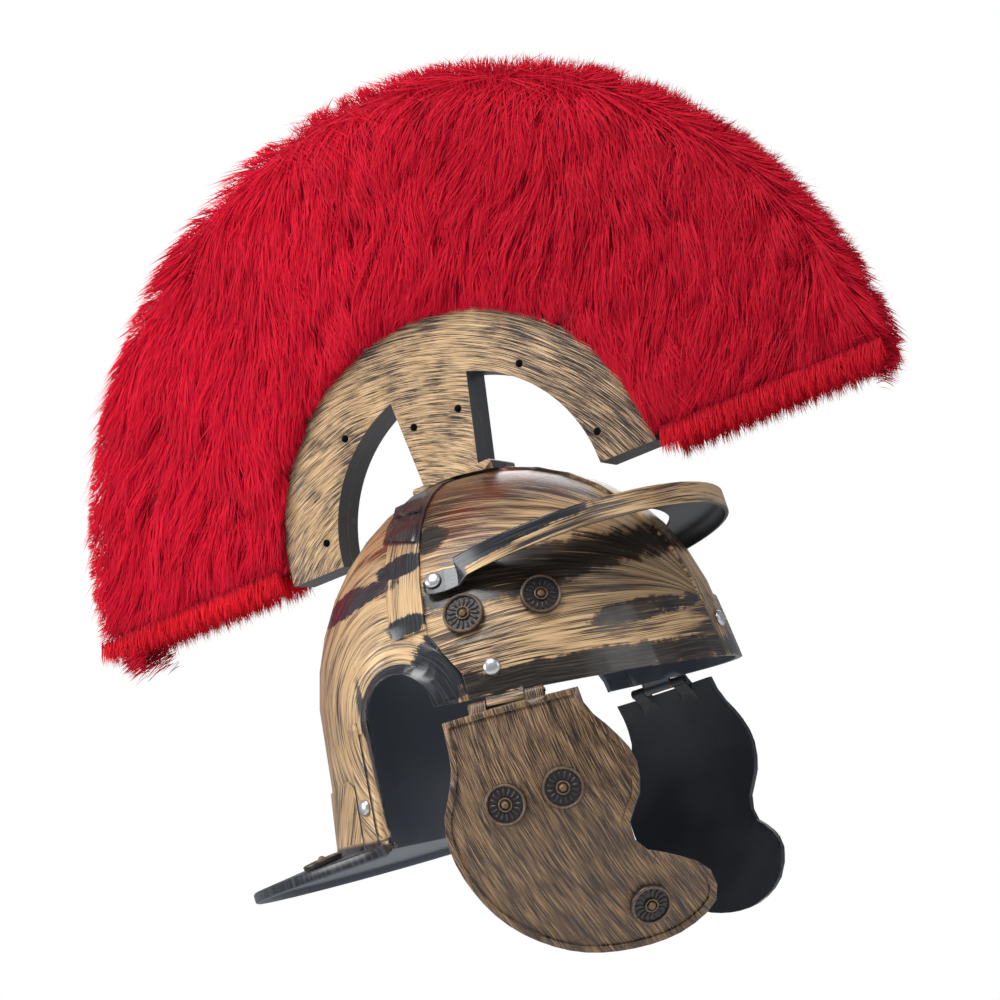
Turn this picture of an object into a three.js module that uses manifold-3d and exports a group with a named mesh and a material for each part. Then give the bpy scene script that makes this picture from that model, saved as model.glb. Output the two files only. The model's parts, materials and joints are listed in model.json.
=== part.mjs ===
// A costume helmet of a Roman legionary: a plastic bowl in two halves, hinged cheek guards, a brow guard, a neck
// guard, and a half-round crest holder that carries a fan of red fur.
//
// Millimetres. +Z is up, -Y is the front and X = 0 is the mirror plane. The origin is inside the bowl, where the
// crown of the wearer's head sits.
import * as THREE from "three";
import { mergeVertices } from "three/addons/utils/BufferGeometryUtils.js";
import Module from "manifold-3d";

const wasm = await Module();
wasm.setup();

// ---------------------------------------------------------------- driving dimensions

const GAP = 0.3;                 // clearance between neighbouring pieces
const WALL = 2.2;                // thickness of the moulded walls

const BOWL = {
  halfWidth: 105.5,              // at the widest level
  frontLength: 112.5,            // from the centre line to the brow
  backLength: 101.8,             // from the centre line to the nape
  centreY: 7.4,
  crownZ: WALL,                  // the origin lies on the inner face of the crown
  widestZ: -114,
  bottomZ: -172,                 // the nape wall is cut off above this level
  planPower: 1.92,               // shape of a level section: 2 is an ellipse
  frontPower: 2.11,              // shape of the upright sections: 2 is an ellipse
  backPower: 1.84,
  sidePower: 2.07,
  frontFlare: 0.1,               // outward lean below the widest level
  backFlare: 0.22,
  sideFlare: 0.03,
};
const AROUND = 56;               // facets round the bowl
const LEVELS = 13;               // facets from crown to bottom edge

const SEAM = { y: -1.6, bendZ: -82, lowY: -13.5, lowZ: -105 };
const RIM = { y: 2, z: -115.8, slope: 0.125 };
const BROW_BAND = { z: -91, slope: 0.055, proud: 1.2 };
const MIDLINE = { halfWidth: 10, proud: 1.5, backY: -24 };

const EAR = { y: 22.5, z: -114, radius: 19.8, rearLowY: 47.5, lowZ: -165 };
const EAR_LIP = { reach: 5.5, proud: 4.2, wall: 1.8 };
const EAR_SURROUND = { y: 24, radius: 36.5, proud: 0.7 };

const NECK_GUARD = { startY: 49.5, halfWidth: 104, length: 125.5, rootZ: -167.5, rootSlope: 0.105, edgeZ: -165.3,
  sideDrop: 2.4, lipHeight: 5.4, lipWall: 2.2, wall: 2.4, cornerRadius: 6 };

const BROW_GUARD = { centreY: -45, halfWidth: 100, length: 78.5, rearY: -23, frontZ: -45.3, slope: 0.056,
  bandHeight: 10.8, wall: 2, shelfHalfWidth: 86, shelfLength: 46 };
const BROW_TAB = { proud: 3.9, rearY: -5, rivetY: -9.5, rivetZ: -59.5, endX: -97.8, endY: -29 };

const GUARD_HINGE = { x: -100.8, y: -27.5, z: -123, toe: 15.9, dip: 2.87, knuckleRadius: 2.6, pinRadius: 1,
  boreRadius: 1.35, webHeight: 5.5, knuckleSides: 14, boreSides: 12 };
const GUARD_KNUCKLES = [[-15.9, -7.6], [11.5, 20.1]];   // along the hinge, on the guard
const BARREL = [-7, 10.9];                              // along the hinge, on the shell
const HINGE_PIN = [-16.6, 20.8];
const GUARD_PLATE = { wall: 2.2, stand: 4.89, lean: 0.286, belly: 0.00418, bow: 0.0045, beadWidth: 3,
  beadHeight: 1.3 };

const ROSETTE = { radius: 10, height: 2.4, stud: 2.8, sides: 18 };
const RIVET = { radius: 4.1, height: 2, sides: 12 };

const CREST_Y = -1;              // centre of the holder's half ring and of the fan
const HOLDER = { radius: 108, innerRadius: 76.6, z: -18.8, innerDrop: 2, halfThickness: 11, stemTopHalf: 23,
  stemLowBack: 18, stemLowFront: 14.5, footHalf: 23.5, footTopZ: 4.6, footHalfThickness: 14.5, holeRadius: 2.1 };
const HOLDER_HOLES = [[53, 44.8], [13.4, 35.8], [81.2, -3.2]];
const FUR = { radius: 234, halfThickness: 18, rootHalfThickness: 14.5, endDrop: 3 };

const COLOURS = { plastic: 0x363c45, brass: 0xb8935c, silver: 0xc8c8c8, fur: 0xb3142a };

// ---------------------------------------------------------------- solids

function toManifold(geometry) {
  const bare = geometry.clone();
  bare.deleteAttribute("normal");
  bare.deleteAttribute("uv");
  const merged = mergeVertices(bare, 1e-4);
  return new wasm.Manifold(new wasm.Mesh({
    numProp: 3,
    vertProperties: new Float32Array(merged.attributes.position.array),
    triVerts: new Uint32Array(merged.index.array),
  }));
}

function toGeometry(solid) {
  const mesh = solid.getMesh();
  const geometry = new THREE.BufferGeometry();
  geometry.setAttribute("position", new THREE.BufferAttribute(new Float32Array(mesh.vertProperties), 3));
  geometry.setIndex(new THREE.BufferAttribute(new Uint32Array(mesh.triVerts), 1));
  return geometry;
}

// Turns every triangle round if the closed mesh is inside out.
function facingOut(geometry) {
  const p = geometry.attributes.position;
  const index = geometry.index;
  const a = new THREE.Vector3();
  const b = new THREE.Vector3();
  const c = new THREE.Vector3();
  let volume = 0;
  for (let i = 0; i < index.count; i += 3) {
    a.fromBufferAttribute(p, index.getX(i));
    b.fromBufferAttribute(p, index.getX(i + 1));
    c.fromBufferAttribute(p, index.getX(i + 2));
    volume += a.dot(b.cross(c));
  }
  if (volume < 0) {
    for (let i = 0; i < index.count; i += 3) {
      const second = index.getX(i + 1);
      index.setX(i + 1, index.getX(i + 2));
      index.setX(i + 2, second);
    }
  }
  return geometry;
}

function mirrored(geometry) {
  return facingOut(geometry.clone().applyMatrix4(new THREE.Matrix4().makeScale(-1, 1, 1)));
}

// A closed body through equal sections, each a list of points in order round its edge.
function loft(sections) {
  const count = sections[0].length;
  const points = sections.flat();
  const faces = [];
  for (let i = 0; i + 1 < sections.length; i++) {
    for (let j = 0; j < count; j++) {
      const k = (j + 1) % count;
      const [a, b, c, d] = [i * count + j, i * count + k, (i + 1) * count + k, (i + 1) * count + j];
      faces.push(a, b, c, a, c, d);
    }
  }
  const last = (sections.length - 1) * count;
  for (const [start, flip] of [[0, true], [last, false]]) {
    for (const [a, b, c] of capTriangles(sections[start / count])) {
      faces.push(start + a, start + (flip ? c : b), start + (flip ? b : c));
    }
  }
  const geometry = new THREE.BufferGeometry();
  geometry.setAttribute("position", new THREE.Float32BufferAttribute(points.flatMap((p) => p.toArray()), 3));
  geometry.setIndex(faces);
  return facingOut(geometry);
}

// Triangles over a flat section that may be hollow on one side, wound as the section runs.
function capTriangles(section) {
  const normal = new THREE.Vector3();
  section.forEach((p, i) => {
    const q = section[(i + 1) % section.length];
    normal.add(new THREE.Vector3().crossVectors(p, q));
  });
  normal.normalize();
  const across = section[1].clone().sub(section[0]).normalize();
  const along = new THREE.Vector3().crossVectors(normal, across);
  const flat = section.map((p) => new THREE.Vector2(p.dot(across), p.dot(along)));
  return THREE.ShapeUtils.triangulateShape(flat, []);
}

// A prism across the whole width in X, from an outline given as [y, z] points.
function acrossX(outline, fromX, toX) {
  return loft([fromX, toX].map((x) => outline.map(([y, z]) => new THREE.Vector3(x, y, z))));
}

// ---------------------------------------------------------------- the bowl's surface

function fade(height, power) {
  return (1 - height ** power) ** (1 / power);
}

// Half-axes of the level section at height z, on the surface moved out by offset.
function sectionAt(z, offset) {
  const height = Math.min(Math.max((z - BOWL.widestZ) / (BOWL.crownZ + offset - BOWL.widestZ), 0), 1);
  const below = Math.max(BOWL.widestZ - z, 0);
  return {
    side: (BOWL.halfWidth + offset) * fade(height, BOWL.sidePower) + BOWL.sideFlare * below,
    front: (BOWL.frontLength + offset) * fade(height, BOWL.frontPower) + BOWL.frontFlare * below,
    back: (BOWL.backLength + offset) * fade(height, BOWL.backPower) + BOWL.backFlare * below,
  };
}

// A point of the bowl at a bearing round it (0 is the back, half a turn the front, X rising from 0) and height z.
function bowlPoint(bearing, z, offset) {
  const { side, front, back } = sectionAt(z, offset);
  const power = 2 / BOWL.planPower;
  const s = Math.sin(bearing);
  const c = Math.cos(bearing);
  const x = Math.sign(s) * Math.abs(s) ** power * side;
  const y = Math.sign(c) * Math.abs(c) ** power * (c > 0 ? back : front) + BOWL.centreY;
  return new THREE.Vector3(x, y, z);
}

// The point of the bowl's right side at y and z. X is negative there.
function onRight(y, z, offset = 0) {
  const { side, front, back } = sectionAt(z, offset);
  const share = Math.abs(y - BOWL.centreY) / (y > BOWL.centreY ? back : front);
  const x = -side * (1 - Math.min(share, 1) ** BOWL.planPower) ** (1 / BOWL.planPower);
  return new THREE.Vector3(x, y, z);
}

function normalOnRight(y, z) {
  const step = 0.5;
  const alongY = onRight(y + step, z).sub(onRight(y - step, z));
  const alongZ = onRight(y, z + step).sub(onRight(y, z - step));
  return new THREE.Vector3().crossVectors(alongZ, alongY).normalize();
}

function levelHeights(topZ) {
  const heights = [];
  for (let i = 1; i <= LEVELS; i++) {
    const turn = (i / LEVELS) * 1.5;
    heights.push(topZ + (BOWL.bottomZ - topZ) * (1 - Math.cos(turn)) / (1 - Math.cos(1.5)));
  }
  return heights;
}

// A closed cap-shaped surface down to the bottom level, with a flat floor.
function filledBowl(offset) {
  const topZ = BOWL.crownZ + offset;
  const points = [new THREE.Vector3(0, BOWL.centreY, topZ)];
  for (const z of levelHeights(topZ)) {
    for (let i = 0; i < AROUND; i++) {
      points.push(bowlPoint((i / AROUND) * 2 * Math.PI, z, offset));
    }
  }
  points.push(new THREE.Vector3(0, BOWL.centreY, BOWL.bottomZ));
  const faces = [];
  const floor = points.length - 1;
  for (let i = 0; i < AROUND; i++) {
    const next = (i + 1) % AROUND;
    faces.push(0, 1 + i, 1 + next);
    for (let level = 0; level + 1 < LEVELS; level++) {
      const up = 1 + level * AROUND;
      const low = up + AROUND;
      faces.push(up + i, low + i, low + next, up + i, low + next, up + next);
    }
    const edge = 1 + (LEVELS - 1) * AROUND;
    faces.push(floor, edge + next, edge + i);
  }
  const geometry = new THREE.BufferGeometry();
  geometry.setAttribute("position", new THREE.Float32BufferAttribute(points.flatMap((p) => p.toArray()), 3));
  geometry.setIndex(faces);
  return toManifold(facingOut(geometry));
}

const FAR = 300;
const outerBowl = filledBowl(0);
const innerBowl = filledBowl(-WALL).add(toManifold(acrossX(
  [[-60, BOWL.bottomZ - 5], [60, BOWL.bottomZ - 5], [60, BOWL.bottomZ + 5], [-60, BOWL.bottomZ + 5]], -60, 60)));

// The layer between the bowl's face and a face that stands proud of it.
function proudLayer(height) {
  return filledBowl(height).subtract(innerBowl);
}

// ---------------------------------------------------------------- cutters for the two halves

function rimZ(y) {
  return RIM.z + RIM.slope * (y - RIM.y);
}

function seamOutline(shift, side) {
  const edge = side * FAR;
  return [
    [edge, FAR], [SEAM.y + shift, FAR], [SEAM.y + shift, SEAM.bendZ], [SEAM.lowY + shift, SEAM.lowZ],
    [SEAM.lowY + shift, -FAR], [edge, -FAR],
  ];
}

const frontHalf = toManifold(acrossX(seamOutline(-GAP / 2, -1), -FAR, FAR));
const backHalf = toManifold(acrossX(seamOutline(GAP / 2, 1), -FAR, FAR));
const belowRim = toManifold(acrossX(
  [[-FAR, rimZ(-FAR)], [EAR.y, rimZ(EAR.y)], [EAR.y, -2 * FAR], [-FAR, -2 * FAR]], -FAR, FAR));

// The edge of an ear opening, front leg to rear leg, as [y, z] points with the way out of the opening.
function earEdge() {
  const stations = [];
  const frontY = EAR.y - EAR.radius;
  stations.push({ at: [frontY, rimZ(frontY)], out: [-1, 0] });
  const steps = 14;
  for (let i = 0; i <= steps; i++) {
    const turn = Math.PI * (1 - i / steps);
    const out = [Math.cos(turn), Math.sin(turn)];
    stations.push({ at: [EAR.y + EAR.radius * out[0], EAR.z + EAR.radius * out[1]], out });
  }
  for (const share of [0.34, 0.67, 1]) {
    const y = THREE.MathUtils.lerp(EAR.y + EAR.radius, EAR.rearLowY, share);
    const z = THREE.MathUtils.lerp(EAR.z, EAR.lowZ, share);
    stations.push({ at: [y, z], out: [1, 0.1] });
  }
  return stations;
}

function earCutter() {
  const reach = EAR_LIP.reach * 0.7;
  const grown = earEdge().map(({ at, out }) => [at[0] + out[0] * reach, at[1] + out[1] * reach]);
  const low = -2 * FAR;
  return toManifold(acrossX([...grown, [grown.at(-1)[0], low], [grown[0][0], low]], -FAR, FAR));
}

// A lip that flares out round the ear opening.
function earLip() {
  const sections = earEdge().map(({ at, out }) => {
    const beside = (reach, offset) => onRight(at[0] + out[0] * reach, at[1] + out[1] * reach, offset);
    return [
      beside(EAR_LIP.reach + 0.4, -0.2),
      beside(0, EAR_LIP.proud),
      beside(-0.2, EAR_LIP.proud - EAR_LIP.wall),
      beside(EAR_LIP.reach - 0.8, -WALL + 0.2),
      beside(EAR_LIP.reach + 0.6, -WALL + 0.2),
    ];
  });
  return toManifold(loft(sections));
}

// ---------------------------------------------------------------- front shell

// The helmet's half of a cheek guard's hinge: a bored barrel under the rim, with a web up into the wall.
function hingeBarrel() {
  const barrel = alongHinge(circle(GUARD_HINGE.knuckleRadius, GUARD_HINGE.knuckleSides), ...BARREL);
  const top = -GUARD_HINGE.webHeight;
  const web = alongHinge([[-1.9, 0], [0.6, 0], [-0.8, top], [-3.2, top]], ...BARREL);
  return toManifold(barrel).add(toManifold(web)).subtract(hingeBore());
}

function hingeBore() {
  return toManifold(alongHinge(circle(GUARD_HINGE.boreRadius, GUARD_HINGE.boreSides), -30, 40));
}

// The space that a cheek guard's knuckle turns in, with a clearance all round.
function knuckleRoom([from, to]) {
  const room = circle(GUARD_HINGE.knuckleRadius + 2 * GAP, GUARD_HINGE.knuckleSides);
  return toManifold(alongHinge(room, from - 2 * GAP, to + 2 * GAP));
}

function frontShell() {
  const aboveRim = (solid) => solid.subtract(belowRim);
  const bandTop = [[-FAR, BROW_BAND.z - BROW_BAND.slope * FAR], [FAR, BROW_BAND.z + BROW_BAND.slope * FAR]];
  const bandZone = toManifold(acrossX([...bandTop, [FAR, -FAR], [-FAR, -FAR]], -FAR, FAR));
  const midlineZone = toManifold(acrossX(
    [[-FAR, FAR], [MIDLINE.backY, FAR], [MIDLINE.backY, -FAR], [-FAR, -FAR]],
    -MIDLINE.halfWidth, MIDLINE.halfWidth));
  const wall = outerBowl.subtract(innerBowl);
  const band = proudLayer(BROW_BAND.proud).intersect(bandZone);
  const midline = proudLayer(MIDLINE.proud).intersect(midlineZone);
  const half = aboveRim(wall.add(band).add(midline)).intersect(frontHalf);
  const barrel = hingeBarrel();
  const aboveBarrels = toManifold(acrossX([[-FAR, -118], [FAR, -118], [FAR, 0], [-FAR, 0]], -FAR, FAR));
  const hollow = innerBowl.intersect(aboveBarrels);
  let body = half;
  for (const knuckle of GUARD_KNUCKLES) {
    const room = knuckleRoom(knuckle);
    body = body.subtract(room).subtract(toManifold(mirrored(toGeometry(room))));
  }
  return body.add(barrel).add(toManifold(mirrored(toGeometry(barrel)))).subtract(hollow);
}

// ---------------------------------------------------------------- back shell

function neckRootZ(y) {
  return NECK_GUARD.rootZ + NECK_GUARD.rootSlope * (y - NECK_GUARD.startY);
}

// A point of the neck guard's upper side, at a turn round it (0 is the right end, half a turn the left one) and at
// a share of the way from the nape out to the edge.
function neckGuardPoint(turn, share) {
  const outX = -NECK_GUARD.halfWidth * Math.cos(turn);
  const outY = NECK_GUARD.startY + NECK_GUARD.length * Math.sin(turn);
  const root = bowlRay(Math.atan2(outX, outY - BOWL.centreY), NECK_GUARD.rootZ, -WALL + 0.3);
  root.z = neckRootZ(root.y);
  const edge = new THREE.Vector3(outX, outY, NECK_GUARD.edgeZ - NECK_GUARD.sideDrop * Math.cos(turn) ** 2);
  return root.lerp(edge, share);
}

// The neck guard: a broad ledge that slopes away from the nape, with a thick turned-down edge.
function neckGuard() {
  const { lipHeight, lipWall, wall } = NECK_GUARD;
  const sections = [];
  const steps = 28;
  for (let i = 0; i <= steps; i++) {
    const turn = Math.PI * (i / steps);
    const root = neckGuardPoint(turn, 0);
    const edge = neckGuardPoint(turn, 1);
    const outward = new THREE.Vector3(edge.x, edge.y - BOWL.centreY, 0).normalize();
    const inside = (distance, drop) => {
      return edge.clone().addScaledVector(outward, -distance).add(new THREE.Vector3(0, 0, -drop));
    };
    sections.push([
      root,
      inside(0.8, 0),
      inside(0, 0.8),
      inside(0, lipHeight - 0.8),
      inside(0.8, lipHeight),
      inside(lipWall, lipHeight),
      inside(lipWall + 0.6, wall),
      root.clone().add(new THREE.Vector3(0, 0, -wall)),
    ]);
  }
  return toManifold(loft(sections));
}

// The point of the bowl straight out from its centre line in the direction of a bearing.
function bowlRay(bearing, z, offset) {
  const { side, front, back } = sectionAt(z, offset);
  const dx = Math.sin(bearing);
  const dy = Math.cos(bearing);
  const length = dy > 0 ? back : front;
  const p = BOWL.planPower;
  const reach = (Math.abs(dx / side) ** p + Math.abs(dy / length) ** p) ** (-1 / p);
  return new THREE.Vector3(dx * reach, dy * reach + BOWL.centreY, z);
}

function earSurround() {
  const steps = 12;
  return Array.from({ length: steps + 1 }, (_, i) => {
    const turn = Math.PI * (i / steps);
    const { y, radius } = EAR_SURROUND;
    return [y + radius * Math.cos(turn), EAR.z + radius * Math.sin(turn)];
  });
}

// Raised bands of the back half, each a [y, z] outline on the side of the bowl and its height: the strip beside
// the seam, the lower and the upper step, the ear's surround, the strip behind the ear and the nape panel.
const BACK_BANDS = [
  { proud: 1, outline: [[-4, 6], [18, 6], [17, -79], [-4, -79]] },
  { proud: 2.4, outline: [[0.6, -23.9], [19.6, -18.7], [18.6, -26.8], [-0.2, -34]] },
  { proud: 2.4, outline: [[1.4, -8.5], [20.5, -7.6], [17.4, -14.2], [1, -17.2]] },
  { proud: EAR_SURROUND.proud, outline: earSurround() },
  { proud: 1.2, outline: [[51.5, -108], [60.5, -108], [69.5, -170], [59.2, -170]] },
  { proud: 1, outline: [[66, -136], [70, -132.5], [FAR, -130], [FAR, -170], [71, -170]] },
];

// Rounds the corner where the ear's rear leg meets the end of the neck guard.
function cornerCut() {
  const steps = 6;
  const r = NECK_GUARD.cornerRadius;
  const lowZ = neckRootZ(NECK_GUARD.startY) - NECK_GUARD.sideDrop - NECK_GUARD.lipHeight;
  const centre = [EAR.rearLowY + r, lowZ + r + 2];
  const arc = Array.from({ length: steps + 1 }, (_, i) => {
    const turn = Math.PI * (1 + 0.5 * (i / steps));
    return [centre[0] + r * Math.cos(turn), centre[1] + r * Math.sin(turn)];
  });
  const [y, z] = arc[0];
  const outline = [[y - r, z], ...arc, [centre[0], lowZ - 2 * r], [y - r, lowZ - 2 * r]];
  return toManifold(acrossX(outline, -FAR, FAR));
}

function backShell() {
  let body = outerBowl.subtract(innerBowl);
  for (const { outline, proud } of BACK_BANDS) {
    body = body.add(proudLayer(proud).intersect(toManifold(acrossX(outline, -FAR, FAR))));
  }
  const belowNape = toManifold(acrossX(
    [[0, neckRootZ(0) - 1.5], [FAR, neckRootZ(FAR) - 1.5], [FAR, -2 * FAR], [0, -2 * FAR]], -FAR, FAR));
  body = body.intersect(backHalf).subtract(belowRim).subtract(belowNape).subtract(earCutter());
  const lip = earLip();
  return body
    .add(lip)
    .add(toManifold(mirrored(toGeometry(lip))))
    .add(neckGuard())
    .intersect(backHalf)
    .subtract(cornerCut())
    .subtract(innerBowl);
}

// ---------------------------------------------------------------- brow guard

// A peak: a level shelf from the brow out to a turned-down band, and a tab at each end for its rivet.
function browGuard() {
  const start = Math.asin((BROW_GUARD.rearY - BROW_GUARD.centreY) / BROW_GUARD.length);
  const steps = 40;
  const sections = [];
  for (let i = 0; i <= steps; i++) {
    const turn = THREE.MathUtils.lerp(start, -Math.PI - start, i / steps);
    const cos = Math.cos(turn);
    const sin = Math.sin(turn);
    const out = new THREE.Vector3(-cos / BROW_GUARD.halfWidth, sin / BROW_GUARD.length, 0).normalize();
    const y = BROW_GUARD.centreY + BROW_GUARD.length * sin;
    const topZ = BROW_GUARD.frontZ - BROW_GUARD.slope * (y - BROW_GUARD.centreY + BROW_GUARD.length);
    const edge = new THREE.Vector3(-BROW_GUARD.halfWidth * cos, y, topZ);
    const inner = new THREE.Vector3(
      -BROW_GUARD.shelfHalfWidth * cos, BROW_GUARD.centreY + BROW_GUARD.shelfLength * sin, topZ);
    const place = (inward, down) => edge.clone().addScaledVector(out, -inward).add(new THREE.Vector3(0, 0, -down));
    const innerLow = inner.clone().add(new THREE.Vector3(0, 0, -BROW_GUARD.wall));
    sections.push([
      place(0.6, 0), place(0, 0.6), place(0, BROW_GUARD.bandHeight), place(BROW_GUARD.wall, BROW_GUARD.bandHeight),
      place(BROW_GUARD.wall, BROW_GUARD.wall), innerLow, inner,
    ]);
  }
  const clear = filledBowl(MIDLINE.proud + GAP);
  const tab = browGuardTab();
  return toManifold(loft(sections)).add(tab).add(toManifold(mirrored(toGeometry(tab)))).subtract(clear);
}

// The tab lies on the bowl: each station gives its y and its upper and lower edge, from round the rivet forwards.
function browGuardTab() {
  const { proud, rearY, endX, endY } = BROW_TAB;
  const stations = [
    [rearY, -57.5, -61.5], [rearY - 1.5, -55.2, -63.6], [rearY - 5, -54, -64.6], [rearY - 11, -54.2, -65],
    [rearY - 17, -55, -64.6],
  ].map(([y, high, low]) => [onRight(y, high, 1), onRight(y, high, proud), onRight(y, low, proud), onRight(y, low, 1)]);
  const edge = (x, level) => new THREE.Vector3(x, endY, level);
  stations.push([edge(endX + 1.8, -55), edge(endX, -55), edge(endX, -61), edge(endX + 1.8, -61)]);
  return toManifold(loft(stations));
}

// ---------------------------------------------------------------- cheek guards

const HINGE_ALONG = new THREE.Vector3(
  Math.sin(THREE.MathUtils.degToRad(GUARD_HINGE.toe)),
  -Math.cos(THREE.MathUtils.degToRad(GUARD_HINGE.toe)),
  -Math.sin(THREE.MathUtils.degToRad(GUARD_HINGE.dip))).normalize();
const HINGE_OUT = new THREE.Vector3(HINGE_ALONG.y, -HINGE_ALONG.x, 0).normalize();
const HINGE_DOWN = new THREE.Vector3().crossVectors(HINGE_ALONG, HINGE_OUT).normalize();

// From the hinge's own directions (along it to the front, down, out) to the helmet.
function fromHinge(along, down, out) {
  return new THREE.Vector3(GUARD_HINGE.x, GUARD_HINGE.y, GUARD_HINGE.z)
    .addScaledVector(HINGE_ALONG, along)
    .addScaledVector(HINGE_DOWN, down)
    .addScaledVector(HINGE_OUT, out);
}

function circle(radius, sides) {
  return Array.from({ length: sides }, (_, i) => {
    const turn = (i / sides) * 2 * Math.PI;
    return [radius * Math.cos(turn), radius * Math.sin(turn)];
  });
}

// A prism along the hinge, from a section given as [out, down] points.
function alongHinge(section, from, to) {
  return loft([from, to].map((along) => section.map(([out, down]) => fromHinge(along, down, out))));
}

// How far the plate's middle stands out of the hinge's upright plane: bellied both ways, like a cheek.
function plateOut(along, down) {
  const { stand, lean, belly, bow } = GUARD_PLATE;
  return stand + lean * down - belly * down * down - bow * along * along;
}

// The outline of the right cheek guard, as [along, down] points through which a smooth edge runs.
const PLATE_POINTS = [
  [35.5, 3], [37, 12.8], [46, 26.3], [52.5, 40.8], [50, 56.8], [42, 68.8], [43.5, 79.8], [57, 87.3], [69.5, 97.3],
  [69, 110.8], [52, 121.3], [27, 123.8], [0, 117.8], [-25, 98.8], [-39, 70.8], [-40, 48.8], [-34.5, 36.8],
  [-30, 25.8], [-29, 13.8], [-29.6, 3],
];

function plateOutline() {
  const through = PLATE_POINTS.map(([along, down]) => new THREE.Vector3(along, down, 0));
  const curve = new THREE.CatmullRomCurve3(through, false, "centripetal");
  return curve.getSpacedPoints(46).map((p) => [p.x, p.y]);
}

// The outline moved in by a distance, corners kept.
function movedIn(outline, distance) {
  return outline.map(([a, d], i) => {
    const before = outline[(i + outline.length - 1) % outline.length];
    const after = outline[(i + 1) % outline.length];
    const first = new THREE.Vector2(a - before[0], d - before[1]).normalize();
    const second = new THREE.Vector2(after[0] - a, after[1] - d).normalize();
    const inward = new THREE.Vector2(-first.y - second.y, first.x + second.x).normalize();
    const stretch = 1 / Math.max(inward.dot(new THREE.Vector2(-first.y, first.x)), 0.6);
    return [a + inward.x * distance * stretch, d + inward.y * distance * stretch];
  });
}

// A curved slab between two distances from the plate's middle.
function plateSlab(low, high) {
  const sections = [];
  const columns = 9;
  const rows = 10;
  const line = (down, level) => Array.from({ length: columns + 1 }, (_, i) => {
    const along = THREE.MathUtils.lerp(-43, 74, i / columns);
    return fromHinge(along, down, plateOut(along, down) + level);
  });
  for (let row = 0; row <= rows; row++) {
    const down = THREE.MathUtils.lerp(1, 127, row / rows);
    sections.push([...line(down, high), ...line(down, low).reverse()]);
  }
  return toManifold(loft(sections));
}

function plateCutter(outline) {
  return toManifold(loft([-90, 60].map((out) => outline.map(([along, down]) => fromHinge(along, down, out)))));
}

function cheekGuard() {
  const outline = plateOutline();
  const half = GUARD_PLATE.wall / 2;
  const whole = plateCutter(outline);
  const inside = plateCutter(movedIn(outline, GUARD_PLATE.beadWidth));
  let body = plateSlab(-half, half).intersect(whole);
  body = body.add(plateSlab(0, half + GUARD_PLATE.beadHeight).intersect(whole.subtract(inside)));
  const knuckle = circle(GUARD_HINGE.knuckleRadius, GUARD_HINGE.knuckleSides);
  const arm = [[-1.6, 1.4], [2, -1.2], [5.6, 3.2], [6, 7], [3.6, 7]];
  for (const [from, to] of GUARD_KNUCKLES) {
    body = body.add(toManifold(alongHinge(knuckle, from, to))).add(toManifold(alongHinge(arm, from, to)));
  }
  return body.subtract(hingeBore());
}

function hingePin() {
  return alongHinge(circle(GUARD_HINGE.pinRadius, GUARD_HINGE.boreSides), ...HINGE_PIN);
}

// ---------------------------------------------------------------- rosettes and rivets

// A round ornament: a raised ring, a dished face and a stud in the middle.
function rosetteGeometry() {
  const { radius: r, height: h, stud, sides } = ROSETTE;
  const profile = [
    [0, 0], [r, 0], [r, h - 0.9], [r - 1, h], [r - 2, h - 1], [stud, h - 1], [stud - 0.8, h + 0.3], [0, h + 0.6],
  ];
  return new THREE.LatheGeometry(profile.map(([x, y]) => new THREE.Vector2(x, y)), sides);
}

function rivetGeometry() {
  const { radius, height, sides } = RIVET;
  const profile = [[0, 0], [1, 0], [0.94, 0.4], [0.6, 0.85], [0, 1]];
  return new THREE.LatheGeometry(profile.map(([x, y]) => new THREE.Vector2(x * radius, y * height)), sides);
}

// Stands a turned piece on a surface, its axis along the normal, a gap clear of it.
function seated(geometry, foot, normal) {
  const turn = new THREE.Quaternion().setFromUnitVectors(new THREE.Vector3(0, 1, 0), normal);
  const place = foot.clone().addScaledVector(normal, GAP);
  return geometry.clone().applyMatrix4(new THREE.Matrix4().compose(place, turn, new THREE.Vector3(1, 1, 1)));
}

function seatedOnBowl(geometry, y, z, proud) {
  const normal = normalOnRight(y, z);
  return seated(geometry, onRight(y, z).addScaledVector(normal, proud), normal);
}

function seatedOnPlate(geometry, along, down) {
  const at = (a, d) => fromHinge(a, d, plateOut(a, d) + GUARD_PLATE.wall / 2);
  const step = 0.5;
  const acrossPlate = at(along + step, down).sub(at(along - step, down));
  const downPlate = at(along, down + step).sub(at(along, down - step));
  const normal = new THREE.Vector3().crossVectors(acrossPlate, downPlate).normalize();
  return seated(geometry, at(along, down), normal.dot(HINGE_OUT) < 0 ? normal.negate() : normal);
}

function seatedOnNeckGuard(geometry, turn, share) {
  const step = 0.01;
  const around = neckGuardPoint(turn + step, share).sub(neckGuardPoint(turn - step, share));
  const outward = neckGuardPoint(turn, share + step).sub(neckGuardPoint(turn, share - step));
  const normal = new THREE.Vector3().crossVectors(outward, around).normalize();
  return seated(geometry, neckGuardPoint(turn, share), normal.z < 0 ? normal.negate() : normal);
}

// ---------------------------------------------------------------- crest

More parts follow.
